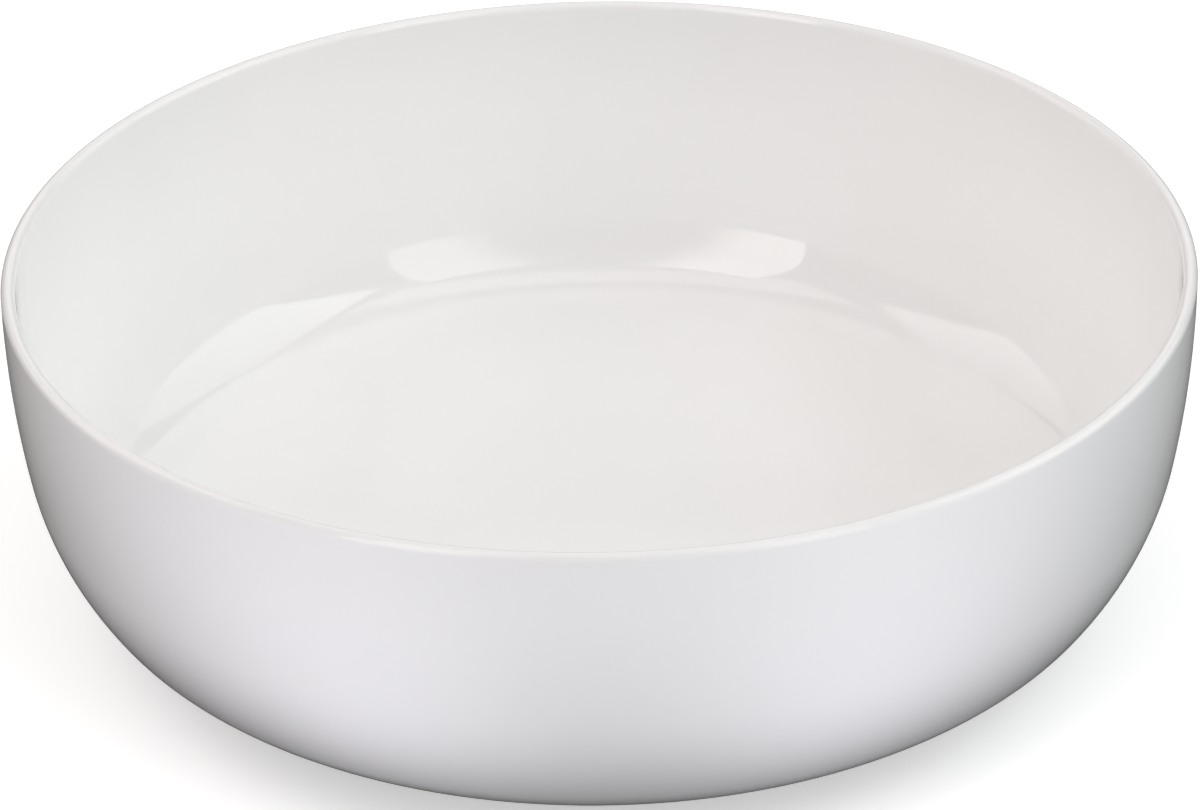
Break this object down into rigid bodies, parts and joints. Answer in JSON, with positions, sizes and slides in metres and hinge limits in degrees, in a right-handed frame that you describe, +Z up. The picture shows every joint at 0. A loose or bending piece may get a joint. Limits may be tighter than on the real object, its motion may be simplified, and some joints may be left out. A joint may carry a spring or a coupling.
{
  "type": "serving bowl",
  "caption": "Round white glazed porcelain serving bowl with a thin rounded lip, near-upright wall, tightly curved lower corner, wide shallow floor and hidden foot ring.",
  "frame": {"origin": "middle of the circle on which the foot ring stands, at table level", "axes": "+Z up along the bowl's axis of revolution, out of its mouth; +X and +Y are any two level directions"},
  "size_m": [0.25, 0.25, 0.079],
  "materials": {
    "fired_porcelain": "matt, fine-grained, bare only on the foot ring",
    "white_glaze": "high gloss, very smooth, slightly warm white"
  },
  "bodies": {
    "root": {"porcelain_body": "fired_porcelain", "inside_glaze": "white_glaze", "outside_glaze": "white_glaze", "underside_glaze": "white_glaze"}
  },
  "joints": []
}
